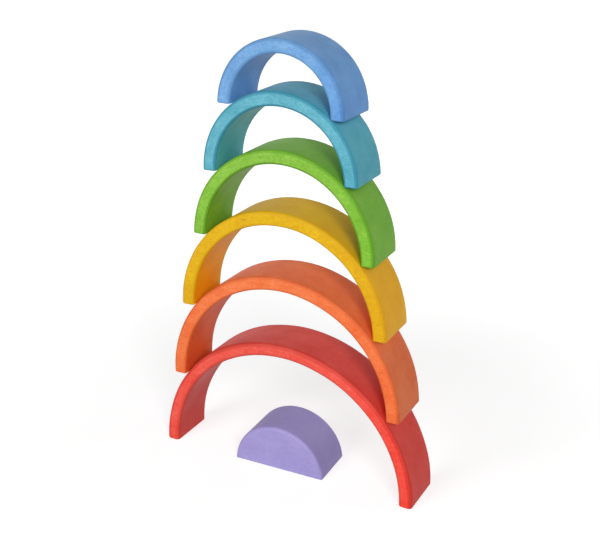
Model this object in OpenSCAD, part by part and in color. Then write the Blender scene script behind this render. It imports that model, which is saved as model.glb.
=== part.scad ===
// Seven-piece wooden rainbow stacker, stood up as a tower.
// Six half-round arches stand one on the next, each with its two feet on the crest of a larger one,
// and the solid half-round block from the middle of the set stands under the largest arch.
// All seven pieces are sawn from one board, so they nest: every arch leaves room for the next.
// Millimetres, +Z up. The origin is on the floor, under the middle of the largest arch.
// The arches lie in the XZ plane and their front faces look towards -Y.

/* [Set] */
// Outer radius of the largest arch, which is half the width of the set
set_r = 130; // [115:1:170]
// Thickness of each arch, measured along its radius
wall = 12.7; // [9:0.1:15]
// Gap that the saw leaves between an arch and the next one inside it
saw_gap = 1.3; // [0.4:0.1:3]
// Depth of every piece, from front to back
depth = 49; // [30:1:80]

/* [Edges] */
// Radius sanded on the front and back edges of every piece
edge_r = 2.5; // [0.5:0.1:4]
// Radius sanded round the flat underside of every foot
foot_r = 1; // [0.3:0.1:1.8]

/* [Block] */
// Thickness planed off the flat base of the half-round block
block_trim = 3; // [0.5:0.5:8]
// Place of the block, to the right of the middle of the largest arch
block_x = -7; // [-25:0.5:25]
// Place of the block, behind the middle of the largest arch
block_y = 2.5; // [-25:0.5:25]
// Angle that the block is twisted on the floor, in degrees, anticlockwise seen from above
block_twist = 2; // [-10:0.5:10]

/* [Stacking] */
// Clearance between the feet of an arch and the crest that they stand on
seat_gap = 0.3; // [0.1:0.1:0.8]
// Angle that the orange arch has slid round the red one, in degrees, positive to the right
orange_turn = -1; // [-6:0.5:6]
// Angle that the yellow arch has slid round the orange one
yellow_turn = 0; // [-6:0.5:6]
// Angle that the green arch has slid round the yellow one
green_turn = 2; // [-6:0.5:6]
// Angle that the teal arch has slid round the green one
teal_turn = -2.5; // [-6:0.5:6]
// Angle that the blue arch has slid round the teal one
blue_turn = 3; // [-6:0.5:6]
// Angle that the orange arch is twisted on the red one, in degrees, anticlockwise seen from above
orange_twist = 0.5; // [-3:0.5:3]
// Angle that the yellow arch is twisted on the orange one
yellow_twist = 0.5; // [-3:0.5:3]
// Angle that the green arch is twisted on the yellow one
green_twist = 0; // [-3:0.5:3]
// Angle that the teal arch is twisted on the green one
teal_twist = -0.5; // [-3:0.5:3]
// Angle that the blue arch is twisted on the teal one
blue_twist = -1; // [-3:0.5:3]

/* [Hidden] */
$fn = 128;
// Length by which every cut runs past the face that it starts from
overrun = 2;
// Share of its radius at which the middle of a foot's round lies in from each face. A little under 1,
// it leaves the faint edge that hand sanding leaves.
foot_inset_share = 0.98;
foot_inset = foot_inset_share * foot_r;

// Places in the set, counted inwards from the largest arch
RED = 0;
ORANGE = 1;
YELLOW = 2;
GREEN = 3;
TEAL = 4;
BLUE = 5;
VIOLET = 6;
TURNS = [0, orange_turn, yellow_turn, green_turn, teal_turn, blue_turn];
TWISTS = [0, orange_twist, yellow_twist, green_twist, teal_twist, blue_twist];

// Stain of each piece, by its place in the set
STAINS = ["#f04a42", "#f2743a", "#eab21e", "#76c534", "#58b6c9", "#66a0e2", "#a598d4"];

// Outer and inner radius of the piece at a place in the set
function outer_r(place) = set_r - place * (wall + saw_gap);
function inner_r(place) = outer_r(place) - wall;

// Distance of a foot edge's round from the arc centre, measured across. The round lies foot_inset inside
// the wall, which is an outer circle where side is 1 and an inner one where it is -1, and as far above
// the base, which lies at base_z above the arc centre.
function round_x(wall_r, side, base_z) =
    sqrt(pow(wall_r - side * foot_inset, 2) - pow(base_z + foot_inset, 2));

// Least distance of the rounds on the inner edges of an arch's feet from the middle of the crest below.
// A twist brings one end of each round nearer, as far out as the crest is level.
function seat_x(place) =
    round_x(inner_r(place), -1, 0) * cos(TWISTS[place]) - (depth / 2 - edge_r) * abs(sin(TWISTS[place]));

// Height of an arch's base above the arc centre of the arch below it. The rounds on the inner edges of
// its feet lie on the crest below, seat_gap away from it where they come nearest.
function seat_rise(place) =
    sqrt(pow(outer_r(place - 1) + seat_gap + foot_r, 2) - pow(seat_x(place), 2)) - foot_inset;

// Rectangle with rounded corners, centred on the origin
module rounded_rectangle(size, r) {
    square([size.x - 2 * r, size.y], center = true);
    square([size.x, size.y - 2 * r], center = true);
    for (x = [-1, 1], y = [-1, 1])
        translate([x * (size.x / 2 - r), y * (size.y / 2 - r)]) circle(r);
}

// What a foot edge loses to its round: the corner below and beside the round's own circle
module foot_corner(wall_r, side, base_z) {
    centre = [round_x(wall_r, side, base_z), base_z + foot_inset];
    far = wall_r + side * overrun;
    difference() {
        polygon([
            centre,
            centre * far / norm(centre),
            [far, base_z - overrun],
            [centre.x, base_z - overrun]
        ]);
        translate(centre) circle(foot_r);
    }
}

// What the front and back edges of the feet lose to their rounds, right across the piece
module foot_front_and_back(width, base_z) {
    for (flip = [0, 1]) mirror([0, flip, 0])
        rotate([90, 0, 90]) linear_extrude(width + 2 * overrun, center = true)
            translate([depth / 2 - foot_inset, base_z + foot_inset]) difference() {
                translate([0, -foot_inset - overrun])
                    square([foot_inset + overrun, foot_inset + overrun]);
                circle(foot_r);
            }
}

// Cuts an outline that lies in the XZ plane right through the depth
module through_depth() {
    rotate([90, 0, 0]) linear_extrude(depth + 2 * overrun, center = true) children();
}

// Half ring with its arc centre at the origin and its feet on the plane z = 0
module arch(place) {
    difference() {
        rotate([90, 0, 0]) rotate_extrude(angle = 180)
            translate([outer_r(place) - wall / 2, 0]) rounded_rectangle([wall, depth], edge_r);
        for (flip = [0, 1]) mirror([flip, 0, 0]) through_depth() {
            foot_corner(outer_r(place), 1, 0);
            foot_corner(inner_r(place), -1, 0);
        }
        foot_front_and_back(2 * outer_r(place), 0);
    }
}

// Half-round block: the core that is left when the smallest arch has been sawn out, planed flat below
module half_round() {
    r = outer_r(VIOLET);
    translate([0, 0, -block_trim]) difference() {
        rotate([90, 0, 0]) rotate_extrude(angle = 180) intersection() {
            rounded_rectangle([2 * r, depth], edge_r);
            translate([0, -depth / 2]) square([r, depth]);
        }
        through_depth() translate([-r - overrun, -overrun])
            square([2 * (r + overrun), block_trim + overrun]);
        for (flip = [0, 1]) mirror([flip, 0, 0]) through_depth() foot_corner(r, 1, block_trim);
        foot_front_and_back(2 * r, block_trim);
    }
}

// Carries a piece from the floor to its place in the tower: up every arch below it in turn
module on_tower(place) {
    if (place == RED)
        children();
    else
        on_tower(place - 1) rotate([0, TURNS[place], 0]) translate([0, 0, seat_rise(place)])
            rotate([0, 0, TWISTS[place]]) children();
}

module stacked_arch(place) {
    color(STAINS[place]) on_tower(place) arch(place);
}

module red_arch() { stacked_arch(RED); }
module orange_arch() { stacked_arch(ORANGE); }
module yellow_arch() { stacked_arch(YELLOW); }
module green_arch() { stacked_arch(GREEN); }
module teal_arch() { stacked_arch(TEAL); }
module blue_arch() { stacked_arch(BLUE); }
module violet_block() {
    color(STAINS[VIOLET]) translate([block_x, block_y, 0]) rotate([0, 0, block_twist]) half_round();
}

red_arch();
orange_arch();
yellow_arch();
green_arch();
teal_arch();
blue_arch();
violet_block();
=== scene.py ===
"""Looks of a wooden rainbow stacker: six stained arches stood up as a tower, and the core block.

Every piece is modelled again as hand-sanded wood and stands for its CAD node. The set is sawn from
one board, so one solid grain runs through all seven pieces, along the board's length.
Metres, in the CAD frame: +Z up, the arches in the XZ plane, front faces towards -Y.
"""

import math
from typing import NamedTuple

import bpy
from mathutils import Matrix, Vector, noise


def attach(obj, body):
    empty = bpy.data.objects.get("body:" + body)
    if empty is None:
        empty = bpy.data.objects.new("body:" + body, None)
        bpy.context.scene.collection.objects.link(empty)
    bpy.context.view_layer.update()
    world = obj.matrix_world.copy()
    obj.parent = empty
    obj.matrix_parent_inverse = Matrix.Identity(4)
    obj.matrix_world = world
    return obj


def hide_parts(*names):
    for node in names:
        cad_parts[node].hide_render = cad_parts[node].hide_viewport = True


# Sizes of the set, the same as the solids have, and the block's twist in degrees
SET_R = 0.130
WALL = 0.0127
SAW_GAP = 0.0013
DEPTH = 0.049
EDGE_R = 0.0025
FOOT_R = 0.001
FOOT_INSET_SHARE = 0.98
FOOT_INSET = FOOT_INSET_SHARE * FOOT_R
SEAT_GAP = 0.0003
BLOCK_TRIM = 0.003
BLOCK_X = -0.007
BLOCK_Y = 0.0025
BLOCK_TWIST = 2.0

# Arches from the floor up: node, turn round the arch below and twist on it, in degrees
ARCHES = (
    ("red_arch", 0.0, 0.0),
    ("orange_arch", -1.0, 0.5),
    ("yellow_arch", 0.0, 0.5),
    ("green_arch", 2.0, 0.0),
    ("teal_arch", -2.5, -0.5),
    ("blue_arch", 3.0, -1.0),
)
BLOCK = "violet_block"


class StainAndPaintedShade(NamedTuple):
    """The stain of one piece, with the painted shade and light that go with it. A depth is added to the
    power that makes the colour deeper.
    """
    # Colours on the flat and on the curved faces, in sRGB from 0 to 255; the curved faces' colour is
    # partly their stain and partly painted light and shade set against the flat faces
    face: tuple
    curve: tuple
    # On the sanded edges: how much deeper the stain is, how much darker as painted shade, and the share
    # of both on edges inside the arch
    edge_depth: float
    edge_painted_shade: float
    inner_edge_share: float
    # How much deeper it gets from the crest to the feet, with painted light brightening the feet, and
    # how much deeper inside the arch as painted shade
    feet_depth_and_light: float
    inner_painted_shade: float
    # How strongly the grain shows through
    grain_share: float = 1.0
    # Short dark streaks on a flat face: place along and across the board, length, width, depth
    marks: tuple = ()


YELLOW_MARKS = ((-0.0327, 0.0912, 0.007, 0.0022, 0.32), (-0.0385, 0.0877, 0.006, 0.0018, 0.20))
# Besides the stains this table holds painted shade and light: darker sanded edges, deeper colour inside
# the arches, lighter feet, and colours of the curved faces partly standing for light and shade on them
STAINS_AND_PAINTED_SHADE = {
    "red_arch": StainAndPaintedShade((244, 85, 70), (223, 77, 67), 0.12, 0.20, 0.35, 0.18, 0.08),
    "orange_arch": StainAndPaintedShade((243, 120, 65), (235, 120, 65), 0.07, 0.14, 0.50, 0.06, 0.14),
    "yellow_arch": StainAndPaintedShade((225, 174, 7), (247, 185, 6), 0.05, 0.05, 0.50, 0.12, 0.14, marks=YELLOW_MARKS),
    "green_arch": StainAndPaintedShade((129, 186, 57), (123, 183, 51), 0.17, 0.12, 1.50, 0.14, 0.04),
    "teal_arch": StainAndPaintedShade((93, 171, 190), (90, 177, 195), 0.30, 0.08, 1.30, 0.10, 0.0),
    "blue_arch": StainAndPaintedShade((109, 160, 213), (117, 167, 222), 0.08, 0.15, 0.20, 0.15, 0.03),
    "violet_block": StainAndPaintedShade((168, 158, 216), (160, 155, 214), 0.0, 0.0, 1.0, 0.0, 0.0, grain_share=0.5),
}

# Edge radius of the pieces that sanding has rounded further than the rest
SANDED = {"red_arch": 0.0034, "blue_arch": 0.0030, "violet_block": 0.0038}

# Mesh steps: length along an arc, and counts over an edge, a foot, the depth, the wall and the base
ARC_STEP = 0.0022
CORNER_STEPS = 6
FOOT_STEPS = 4
DEPTH_STEPS = 20
WALL_STEPS = 6
BASE_STEPS = 40
# Rings inside the ends of an arch and the flat faces of the block, as shares of their outlines
CAP_SHARES = (0.96, 0.6)
FACE_SHARES = (0.985, 0.85, 0.7, 0.55, 0.4, 0.25)
# Height that the rings on the block's flat faces close in on, as a share of its radius
FACE_MIDDLE_SHARE = 1 / 3
# Least radius of the block's corners, and of an arch's edges as a share of the full one
SHARPEST = 0.0002
SHARPEST_SHARE = 0.1
# Height above the base over which the block's edges begin to wander, and the normal that tells the base
EVEN_FOOT = 0.008
BASE_NORMAL = -0.5

# Hand work: how far the sanded edges and the sawn faces wander, and over what length
EDGE_WANDER_SHARE = 0.16
EDGE_WANDER_LENGTH = 0.030
SAW_WAVE = 0.00010
SAW_WAVE_LENGTH = 0.034
SAND_WAVE = 0.00003
SAND_WAVE_LENGTH = 0.009

# Seeds of the noise: steps from piece to piece, from saw to sandpaper and from edge to edge
PIECE_SEED = 1.7
SAND_SEED = 7
EDGE_SEED = 11

# Camera that took the picture, seen from the tower
IMAGE_W = 600
FOCAL_PX = 1035.2
SENSOR_W = 36.0
CAMERA_AZIMUTH = math.radians(28.33)
CAMERA_ELEVATION = math.radians(21.76)
CAMERA_DISTANCE = 0.9148
CAMERA_TARGET = Vector((0.0057, 0.0, 0.1982))
CLIP_START = 0.01


# Placing

def outer_r(place):
    return SET_R - place * (WALL + SAW_GAP)


def inner_r(place):
    return outer_r(place) - WALL


def seat_rise(place, twist):
    """Height of an arch's base above the arc centre of the arch below it, at a twist in radians."""
    round_x = math.sqrt((inner_r(place) + FOOT_INSET) ** 2 - FOOT_INSET ** 2)
    seat_x = round_x * math.cos(twist) - (DEPTH / 2 - EDGE_R) * abs(math.sin(twist))
    reach = outer_r(place - 1) + SEAT_GAP + FOOT_R
    return math.sqrt(reach ** 2 - seat_x ** 2) - FOOT_INSET


def tower_places():
    """One matrix per arch, from its own arc centre to its place in the tower."""
    places = []
    here = Matrix.Identity(4)
    for place, (_, turn, twist) in enumerate(ARCHES):
        if place:
            here = here @ Matrix.Rotation(math.radians(turn), 4, "Y")
            here = here @ Matrix.Translation((0, 0, seat_rise(place, math.radians(twist))))
            here = here @ Matrix.Rotation(math.radians(twist), 4, "Z")
        places.append(here.copy())
    return places


# Meshes

def wander(point, length, seed):
    """Smooth noise from -1 to 1 that changes over about that length."""
    return noise.noise(Vector(point) / length + Vector((seed, 2 * seed, 3 * seed)))


def sanded(point, normal, seed):
    """The point moved along its normal by the waves that saw and sandpaper leave."""
    wave = SAW_WAVE * wander(point, SAW_WAVE_LENGTH, seed)
    wave += SAND_WAVE * wander(point, SAND_WAVE_LENGTH, seed + SAND_SEED)
    return point + wave * normal


def rounded_section(half_wall, half_depth, radii):
    """Ring of ((across, along), normal) round a rectangle whose four corners have their own radii.

    It starts at the outer front corner and runs along the outer face to the back.
    """
    signs = ((1, -1), (1, 1), (-1, 1), (-1, -1))
    steps = (DEPTH_STEPS, WALL_STEPS, DEPTH_STEPS, WALL_STEPS)
    corners = []
    for k, (across, along) in enumerate(signs):
        r = radii[k]
        middle = Vector((across * (half_wall - r), along * (half_depth - r)))
        arc = []
        for i in range(CORNER_STEPS + 1):
            angle = math.pi / 2 * (k - 1 + i / CORNER_STEPS)
            normal = Vector((math.cos(angle), math.sin(angle)))
            arc.append((middle + r * normal, normal))
        corners.append(arc)
    ring = []
    for k, arc in enumerate(corners):
        ring += arc
        start, normal = arc[-1]
        end = corners[(k + 1) % 4][0][0]
        ring += [(start.lerp(end, i / steps[k]), normal) for i in range(1, steps[k])]
    return ring


def arch_stations(place):
    """Angles from one foot to the other, each with the inset of the section there."""
    middle_r = outer_r(place) - WALL / 2
    foot = []
    for i in range(FOOT_STEPS + 1):
        angle = math.pi / 2 * i / FOOT_STEPS
        foot.append((FOOT_R * (1 - math.cos(angle)) / middle_r, FOOT_R * (1 - math.sin(angle))))
    first = foot[-1][0]
    count = math.ceil(math.pi * middle_r / ARC_STEP)
    between = [(first + (math.pi - 2 * first) * i / count, 0.0) for i in range(1, count)]
    return foot + between + [(math.pi - angle, inset) for angle, inset in reversed(foot)]


def edge_radii(edge_r, angle, middle_r, inset, seed):
    """Radii of the four long edges at an angle of the arch, as sanding by hand leaves them."""
    along = Vector((angle * middle_r, 0, 0))
    wanders = [wander(along, EDGE_WANDER_LENGTH, seed + EDGE_SEED * k) for k in range(4)]
    return [max(edge_r * (1 + EDGE_WANDER_SHARE * w) - inset, SHARPEST_SHARE * edge_r) for w in wanders]


def mesh_object(name, points, faces, flat_faces):
    mesh = bpy.data.meshes.new(name)
    mesh.from_pydata(points, [], faces + flat_faces)
    smooth = [True] * len(faces) + [False] * len(flat_faces)
    mesh.polygons.foreach_set("use_smooth", smooth)
    mesh.update()
    piece = bpy.data.objects.new(name, mesh)
    bpy.context.scene.collection.objects.link(piece)
    return piece


def ring_faces(rings, size):
    """Quads between each ring of points and the next; the rings are numbered in order."""
    faces = []
    for low, high in zip(rings, rings[1:]):
        for j in range(size):
            k = (j + 1) % size
            faces.append((low + j, low + k, high + k, high + j))
    return faces


def build_arch(name, place, edge_r):
    """Half ring of rounded section, its arc centre at the origin and its feet on z = 0."""
    middle_r = outer_r(place) - WALL / 2
    seed = PIECE_SEED * (place + 1)
    points = []
    starts = []
    size = 0

    def add_ring(angle, inset, share, wavy):
        radial = Vector((math.cos(angle), 0, math.sin(angle)))
        depth_axis = Vector((0, 1, 0))
        radii = edge_radii(edge_r, angle, middle_r, inset, seed)
        ring = rounded_section(WALL / 2 - inset, DEPTH / 2 - inset, radii)
        starts.append(len(points))
        for (across, along), normal in ring:
            point = radial * (middle_r + share * across) + depth_axis * (share * along)
            if wavy:
                point = sanded(point, radial * normal.x + depth_axis * normal.y, seed)
            points.append(point)
        return len(ring)

    stations = arch_stations(place)
    for share in reversed(CAP_SHARES):
        add_ring(stations[0][0], stations[0][1], share, False)
    for angle, inset in stations:
        size = add_ring(angle, inset, 1.0, inset == 0)
    for share in CAP_SHARES:
        add_ring(stations[-1][0], stations[-1][1], share, False)
    first_cap = tuple(range(starts[0] + size - 1, starts[0] - 1, -1))
    last_cap = tuple(range(starts[-1], starts[-1] + size))
    return mesh_object(name, points, ring_faces(starts, size), [first_cap, last_cap])


def block_outline(arc_r, base_z, corner_r):
    """Loop of (point, normal, share of the arc) round the block's front, from the right of the base.

    The arc has that radius, and the base that height. The share is 1 on the arc and 0 on the base.
    """
    centre = Vector((0, -BLOCK_TRIM))
    rise = base_z + corner_r
    corner_x = math.sqrt((arc_r - corner_r) ** 2 - (rise - centre.y) ** 2)
    lift = math.atan2(rise - centre.y, corner_x)
    count = math.ceil(math.pi * outer_r(len(ARCHES)) / ARC_STEP)
    loop = []

    def arc(middle, radius, start, end, steps, share_start, share_end, trim=0):
        for i in range(trim, steps + 1 - trim):
            angle = start + (end - start) * i / steps
            normal = Vector((math.cos(angle), math.sin(angle)))
            share = share_start + (share_end - share_start) * i / steps
            loop.append((middle + radius * normal, normal, share))

    arc(Vector((corner_x, rise)), corner_r, -math.pi / 2, lift, FOOT_STEPS, 0, 1)
    arc(centre, arc_r, lift, math.pi - lift, count, 1, 1, trim=1)
    arc(Vector((-corner_x, rise)), corner_r, math.pi - lift, 1.5 * math.pi, FOOT_STEPS, 1, 0)
    start, normal, share = loop[-1]
    end = loop[0][0]
    loop += [(start.lerp(end, i / BASE_STEPS), normal, share) for i in range(1, BASE_STEPS)]
    return loop


def build_block(name, edge_r):
    """Half-round block on z = 0, its arc centre over the origin."""
    r = outer_r(len(ARCHES))
    middle = Vector((0, FACE_MIDDLE_SHARE * r))
    seed = PIECE_SEED * (len(ARCHES) + 1)
    points = []
    starts = []
    size = 0

    def add_loop(turn, depth_share, side, share, wavy):
        """One loop: share runs over the flat face, turn over the edge and depth_share to mid-depth."""
        inset = 1 - math.sin(turn)
        drop = 1 - math.cos(turn)
        corner_r = max(FOOT_R * math.sin(turn), SHARPEST)
        outline = block_outline(r - edge_r * inset, FOOT_R * inset, corner_r)
        starts.append(len(points))
        for flat, normal, on_arc in outline:
            edge = FOOT_R + (edge_r - FOOT_R) * on_arc
            above = min(1, (flat.y - FOOT_R * inset) / EVEN_FOOT)
            more = above * edge_r * EDGE_WANDER_SHARE
            more *= wander((flat.x, side, flat.y), EDGE_WANDER_LENGTH, seed)
            rim = DEPTH / 2 - (edge + more) * drop
            face = middle + share * (flat - more * inset * normal - middle)
            point = Vector((face.x, side * rim * (1 - depth_share), face.y))
            if wavy and normal.y > BASE_NORMAL:
                point = sanded(point, Vector((normal.x, 0, normal.y)), seed)
            points.append(point)
        return len(outline)

    half_steps = DEPTH_STEPS // 2
    turns = [math.pi / 2 * i / CORNER_STEPS for i in range(CORNER_STEPS + 1)]
    depth_shares = [i / half_steps for i in range(1, half_steps + 1)]
    front = [(0.0, 0.0, share, False) for share in reversed(FACE_SHARES)]
    front += [(turn, 0.0, 1.0, True) for turn in turns]
    front += [(math.pi / 2, depth_share, 1.0, True) for depth_share in depth_shares]
    # The back has the same loops in reverse, without the one at mid-depth
    for side, loops in ((-1, front), (1, front[-2::-1])):
        for turn, depth_share, share, wavy in loops:
            size = add_loop(turn, depth_share, side, share, wavy)
    front_cap = tuple(range(starts[0], starts[0] + size))
    back_cap = tuple(range(starts[-1] + size - 1, starts[-1] - 1, -1))
    quads = [face[::-1] for face in ring_faces(starts, size)]
    return mesh_object(name, points, quads, [front_cap, back_cap])


# Materials

class Texture(NamedTuple):
    """Noise in the wood, drawn out along the grain."""
    # Width across the grain, and that width as a share of the length along it
    width: float
    width_share: float
    # Number of finer layers, and the strength of each against the one before
    detail: float
    roughness: float


FIBRES = Texture(0.0008, 0.15, 3.0, 0.6)
STREAKS = Texture(0.0042, 0.05, 3.0, 0.55)
MOTTLE = Texture(0.0017, 0.7, 2.0, 0.6)
BLOTCHES = Texture(0.022, 1.0, 2.0, 0.5)
PORES = Texture(0.0008, 0.2, 1.0, 0.5)
NOISE_MEAN = 0.5
# Noise over which a pore opens, and distance from its middle over which a mark fades, against its size
PORE_RANGE = (0.66, 0.78)
MARK_RANGE = (0.15, 0.5)

# How strongly each texture changes the stain that the wood soaks up, and the mottle more on flat faces
FIBRE_SHARE = 0.30
STREAK_SHARE = 0.14
BLOTCH_SHARE = 0.36
PORE_SHARE = 0.10
MOTTLE_SHARE = 0.14
FACE_MOTTLE_SHARE = 0.36

# Darkening of the stain for each unit by which it gets deeper, and painted light that brightens it
# towards the feet
DARKER_SHARE = 0.35
FEET_PAINTED_LIGHT = 0.5
# Place along each arch where it is palest, as a share of its outer radius, and the middle of the change
PALEST_SHARE = -0.2
FEET_MIDDLE = 0.5

# Finish: roughness between the fibres and added by them, relief of streaks and pores against the fibres
ROUGHNESS = 0.46
FIBRE_ROUGHNESS = 0.14
STREAK_RELIEF_SHARE = 0.5
PORE_RELIEF_SHARE = -0.6
RELIEF_STRENGTH = 0.18
RELIEF_DEPTH = 0.0002
SPECULAR = 0.30
IOR = 1.45

# Part of the normal that points to the front or back: where a flat face starts, where a sanded edge
# does, and from the colour of the curved faces, partly painted light and shade, to that of the flat
# faces
FACE_RANGE = (0.985, 0.999)
EDGE_RANGE = (0.03, 0.35)
STAIN_RANGE = (0.1, 0.9)
# Part of it that points away from the arc centre: where the inside of an arch, which takes painted
# shade, ends, and from its edges on the inside to those on the outside
INNER_RANGE = (-0.9, -0.3)
INNER_EDGE_RANGE = (-0.3, 0.3)


def linear(rgb):
    """Linear colour of an sRGB one given in 0 to 255."""
    def channel(v):
        v /= 255
        return v / 12.92 if v <= 0.04045 else ((v + 0.055) / 1.055) ** 2.4
    return tuple(channel(v) for v in rgb) + (1.0,)


class Nodes:
    """Short forms for making and linking the nodes of one tree."""

    def __init__(self, tree):
        self.tree = tree

    def add(self, kind, inputs, **settings):
        node = self.tree.nodes.new(kind)
        for name, value in settings.items():
            setattr(node, name, value)
        for name, value in inputs.items():
            self.feed(node.inputs[name], value)
        return node

    def feed(self, socket, value):
        if isinstance(value, bpy.types.NodeSocket):
            self.tree.links.new(value, socket)
        else:
            socket.default_value = value

    def math(self, operation, first, second=0.0, third=0.0):
        inputs = {0: first, 1: second, 2: third}
        return self.add("ShaderNodeMath", inputs, operation=operation).outputs[0]

    def vector_math(self, operation, first, second=(0, 0, 0), output="Vector"):
        inputs = {0: first, 1: second}
        return self.add("ShaderNodeVectorMath", inputs, operation=operation).outputs[output]

    def noise(self, vector, texture):
        drawn_out = self.stretch(vector, (texture.width_share, 1, 1))
        inputs = {"Vector": drawn_out, "Scale": 1 / texture.width, "Detail": texture.detail,
                  "Roughness": texture.roughness}
        return self.add("ShaderNodeTexNoise", inputs).outputs["Fac"]

    def stretch(self, vector, scale):
        return self.add("ShaderNodeMapping", {"Vector": vector, "Scale": scale}).outputs[0]

    def ramp(self, value, low, high, out_low=0.0, out_high=1.0):
        inputs = {0: value, 1: low, 2: high, 3: out_low, 4: out_high}
        return self.add("ShaderNodeMapRange", inputs, interpolation_type="SMOOTHSTEP").outputs[0]


def surface_masks(n, board, normal, inner_edge_share):
    """Masks of the flat faces, the sanded edges (deeper stain and painted shade), the inside of the arch
    (painted shade) and the blend from the curved faces' colour to the flat faces'.
    """
    to_front = n.math("ABSOLUTE", n.add("ShaderNodeSeparateXYZ", {0: normal}).outputs["Y"])
    spoke = n.vector_math("NORMALIZE", n.stretch(board, (1, 0, 1)))
    outward = n.vector_math("DOT_PRODUCT", spoke, normal, "Value")
    face = n.ramp(to_front, *FACE_RANGE)
    # Sanded edges: deeper stain, and darker there as painted shade
    edge = n.math("MULTIPLY", n.ramp(to_front, *EDGE_RANGE), n.math("SUBTRACT", 1.0, face))
    edge = n.math("MULTIPLY", edge, n.ramp(outward, *INNER_EDGE_RANGE, inner_edge_share, 1.0))
    # Inside of the arch, where the colour is deepened as painted shade
    inside_shade_mask = n.ramp(outward, *INNER_RANGE, 1.0, 0.0)
    return face, edge, inside_shade_mask, n.ramp(to_front, *STAIN_RANGE)


def grain_mark(n, board, x, z, length, width, depth):
    """Depth of one short streak in the grain, at a place of the board's front."""
    moved = n.add("ShaderNodeMapping", {"Vector": board, "Location": (-x / length, 0, -z / width),
                                        "Scale": (1 / length, 0, 1 / width)}).outputs[0]
    away = n.vector_math("LENGTH", moved, output="Value")
    return n.ramp(away, *MARK_RANGE, depth, 0.0)


def wood_grain(n, board, face, look):
    """The stain that the wood soaks up beyond its mean, the fibres and the relief of the surface."""
    fibres = n.noise(board, FIBRES)
    streaks = n.noise(board, STREAKS)
    pores = n.ramp(n.noise(board, PORES), *PORE_RANGE)
    blotches = n.noise(board, BLOTCHES)
    mottle = n.noise(board, MOTTLE)
    mottle_share = n.math("MULTIPLY_ADD", face, FACE_MOTTLE_SHARE, MOTTLE_SHARE)
    textures = ((fibres, FIBRE_SHARE), (streaks, STREAK_SHARE),
                (blotches, BLOTCH_SHARE), (mottle, mottle_share))
    soaked = n.math("MULTIPLY", pores, PORE_SHARE)
    for texture, share in textures:
        soaked = n.math("MULTIPLY_ADD", n.math("SUBTRACT", texture, NOISE_MEAN), share, soaked)
    soaked = n.math("MULTIPLY", soaked, look.grain_share)
    for mark in look.marks:
        soaked = n.math("ADD", soaked, grain_mark(n, board, *mark))
    relief = n.math("MULTIPLY_ADD", streaks, STREAK_RELIEF_SHARE, fibres)
    relief = n.math("MULTIPLY_ADD", pores, PORE_RELIEF_SHARE, relief)
    return soaked, fibres, relief


def stain_with_painted_shade(n, board, reach, edge, inside_shade_mask, to_face, soaked, look):
    """Colour of the stain: a power of it where it is deeper, and darker too; with painted shade on the
    sanded edges and inside the arch, and painted light towards the feet.
    """
    along = n.add("ShaderNodeSeparateXYZ", {0: board}).outputs["X"]
    along = n.math("MULTIPLY_ADD", along, 1 / reach, -PALEST_SHARE)
    feet = n.math("MULTIPLY", n.math("MULTIPLY_ADD", along, along, -FEET_MIDDLE), look.feet_depth_and_light)
    # The curved faces' colour is partly stain and partly painted light and shade against the flat faces
    stain = n.add("ShaderNodeMix", {"Factor": to_face, "A": linear(look.curve), "B": linear(look.face)},
                  data_type="RGBA").outputs["Result"]
    power = n.math("ADD", n.math("ADD", soaked, 1.0), feet)
    power = n.math("MULTIPLY_ADD", edge, look.edge_depth, power)
    # Painted shade: deeper colour inside the arch
    power = n.math("MULTIPLY_ADD", inside_shade_mask, look.inner_painted_shade, power)
    deep = n.add("ShaderNodeGamma", {"Color": stain, "Gamma": power}).outputs[0]
    shade = n.math("MULTIPLY_ADD", soaked, -DARKER_SHARE, 1.0)
    # Painted light: brighter towards the feet, dimmer at the crest
    shade = n.math("MULTIPLY_ADD", feet, FEET_PAINTED_LIGHT, shade)
    # Painted shade: darker on the sanded edges
    shade = n.math("MULTIPLY_ADD", edge, -look.edge_painted_shade, shade)
    return n.add("ShaderNodeVectorMath", {0: deep, "Scale": shade}, operation="SCALE").outputs[0]


def stained_wood(name, reach, look):
    """Fine-grained wood under a satin stain; the grain lies along the board's length, local X.

    The piece reaches that far from its middle along the board.
    """
    material = bpy.data.materials.new(name)
    material.use_nodes = True
    shader = material.node_tree.nodes["Principled BSDF"]
    n = Nodes(material.node_tree)
    coordinates = n.add("ShaderNodeTexCoord", {})
    board = coordinates.outputs["Object"]
    normal = coordinates.outputs["Normal"]
    face, edge, inside_shade_mask, to_face = surface_masks(n, board, normal, look.inner_edge_share)
    soaked, fibres, relief = wood_grain(n, board, face, look)
    # Stain with painted shade on the edges and inside the arch, and painted light towards the feet
    colour = stain_with_painted_shade(n, board, reach, edge, inside_shade_mask, to_face, soaked, look)
    bump_inputs = {"Strength": RELIEF_STRENGTH, "Distance": RELIEF_DEPTH, "Height": relief}
    bump = n.add("ShaderNodeBump", bump_inputs)
    n.feed(shader.inputs["Base Color"], colour)
    n.feed(shader.inputs["Roughness"], n.math("MULTIPLY_ADD", fibres, FIBRE_ROUGHNESS, ROUGHNESS))
    n.feed(shader.inputs["Normal"], bump.outputs[0])
    shader.inputs["Specular IOR Level"].default_value = SPECULAR
    shader.inputs["IOR"].default_value = IOR
    return material


# Stage

WHITE = (1, 1, 1, 1)
# Light of the white room on the tower, against the 1 that the camera sees of it
AMBIENT = 0.15
FLOOR_SIZE = 12.0
# Floor as other surfaces see it, and as the camera does: a glow that grows with the distance from the
# tower, plus a diffuse part that takes the shadow
FLOOR_COLOUR = (0.60, 0.60, 0.60, 1)
FLOOR_SHADE = (0.50, 0.50, 0.50, 1)
FLOOR_GLOWS = (0.70, 0.95)
FLOOR_GLOW_RANGE = (0.20, 0.75)
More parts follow.
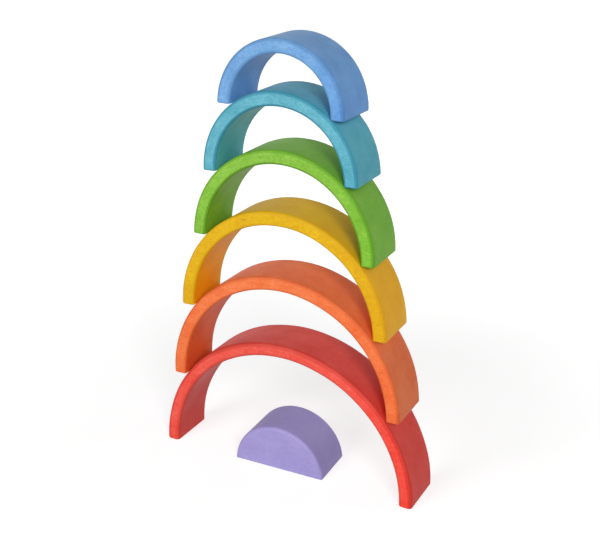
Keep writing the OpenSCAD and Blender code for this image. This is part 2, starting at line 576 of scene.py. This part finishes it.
# Point that every lamp looks at, and its distance from there
LIGHT_AIM = Vector((0.0, 0.0, 0.20))
LIGHT_DISTANCE = 1.9
# Softboxes: azimuth and elevation in degrees, width in metres and power in watts
LAMPS = {
    "left_lamp": (-18, 22, 1.0, 20.1),
    "right_lamp": (42, 27, 0.5, 14.5),
    "rim_lamp": (125, 20, 0.9, 3.2),
    "back_lamp": (180, 0, 0.36, 8.0),
}


def seen_directly(n):
    """1 for rays from the camera and for those that mirror or glass send on, otherwise 0."""
    path = n.add("ShaderNodeLightPath", {})
    seen = n.math("MAXIMUM", path.outputs["Is Camera Ray"], path.outputs["Is Glossy Ray"])
    return n.math("MAXIMUM", seen, path.outputs["Is Transmission Ray"])


def make_world():
    world = bpy.data.worlds.new("studio")
    bpy.context.scene.world = world
    world.use_nodes = True
    n = Nodes(world.node_tree)
    strength = n.math("MULTIPLY_ADD", seen_directly(n), 1 - AMBIENT, AMBIENT)
    background = world.node_tree.nodes["Background"]
    background.inputs["Color"].default_value = WHITE
    n.feed(background.inputs["Strength"], strength)


def make_floor():
    half = FLOOR_SIZE / 2
    corners = [(-half, -half, 0), (half, -half, 0), (half, half, 0), (-half, half, 0)]
    floor = mesh_object("floor", corners, [], [(0, 1, 2, 3)])
    material = bpy.data.materials.new("floor_white")
    material.use_nodes = True
    tree = material.node_tree
    tree.nodes.remove(tree.nodes["Principled BSDF"])
    n = Nodes(tree)
    plain = n.add("ShaderNodeBsdfDiffuse", {"Color": FLOOR_COLOUR}).outputs[0]
    place = n.add("ShaderNodeTexCoord", {}).outputs["Object"]
    away = n.vector_math("LENGTH", place, output="Value")
    strength = n.ramp(away, *FLOOR_GLOW_RANGE, *FLOOR_GLOWS)
    glow = n.add("ShaderNodeEmission", {"Color": WHITE, "Strength": strength}).outputs[0]
    shaded = n.add("ShaderNodeBsdfDiffuse", {"Color": FLOOR_SHADE}).outputs[0]
    white = n.add("ShaderNodeAddShader", {0: glow, 1: shaded}).outputs[0]
    mixed = n.add("ShaderNodeMixShader", {0: seen_directly(n), 1: plain, 2: white}).outputs[0]
    n.feed(tree.nodes["Material Output"].inputs["Surface"], mixed)
    floor.data.materials.append(material)


def look_at(name, data, target, distance, azimuth, elevation):
    """New object that looks at a target from a distance. Azimuths run from the front to the right."""
    direction = Vector((math.sin(azimuth) * math.cos(elevation),
                        -math.cos(azimuth) * math.cos(elevation), math.sin(elevation)))
    looker = bpy.data.objects.new(name, data)
    looker.location = target + distance * direction
    looker.rotation_euler = direction.to_track_quat("Z", "Y").to_euler()
    bpy.context.scene.collection.objects.link(looker)
    return looker


def make_lamps():
    for name, (azimuth, elevation, size, power) in LAMPS.items():
        lamp = bpy.data.lights.new(name, "AREA")
        lamp.size = size
        lamp.energy = power
        look_at(name, lamp, LIGHT_AIM, LIGHT_DISTANCE, math.radians(azimuth), math.radians(elevation))


def make_camera():
    data = bpy.data.cameras.new("camera")
    data.sensor_fit = "HORIZONTAL"
    data.sensor_width = SENSOR_W
    data.lens = FOCAL_PX / IMAGE_W * SENSOR_W
    data.clip_start = CLIP_START
    camera = look_at("camera", data, CAMERA_TARGET, CAMERA_DISTANCE, CAMERA_AZIMUTH, CAMERA_ELEVATION)
    bpy.context.scene.camera = camera


def dress(piece, node, place):
    """Gives a finished piece its stain and lets it stand for its CAD node."""
    piece.data.materials.append(stained_wood(f"{node}_stain", outer_r(place), STAINS_AND_PAINTED_SHADE[node]))
    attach(piece, node)
    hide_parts(node)


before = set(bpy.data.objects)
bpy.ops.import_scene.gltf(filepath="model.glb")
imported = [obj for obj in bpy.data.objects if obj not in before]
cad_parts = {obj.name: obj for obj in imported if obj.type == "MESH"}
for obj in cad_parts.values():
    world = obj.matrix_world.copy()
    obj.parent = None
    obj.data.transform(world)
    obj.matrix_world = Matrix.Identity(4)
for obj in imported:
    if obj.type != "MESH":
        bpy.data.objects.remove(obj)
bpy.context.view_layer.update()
bpy.context.scene.view_settings.view_transform = "Standard"

for place, ((node, _, _), matrix) in enumerate(zip(ARCHES, tower_places())):
    arch = build_arch(f"{node}_wood", place, SANDED.get(node, EDGE_R))
    arch.matrix_world = matrix
    dress(arch, node, place)
block = build_block(f"{BLOCK}_wood", SANDED.get(BLOCK, EDGE_R))
turned = Matrix.Rotation(math.radians(BLOCK_TWIST), 4, "Z")
block.matrix_world = Matrix.Translation((BLOCK_X, BLOCK_Y, 0)) @ turned
dress(block, BLOCK, len(ARCHES))

make_world()
make_floor()
make_lamps()
make_camera()
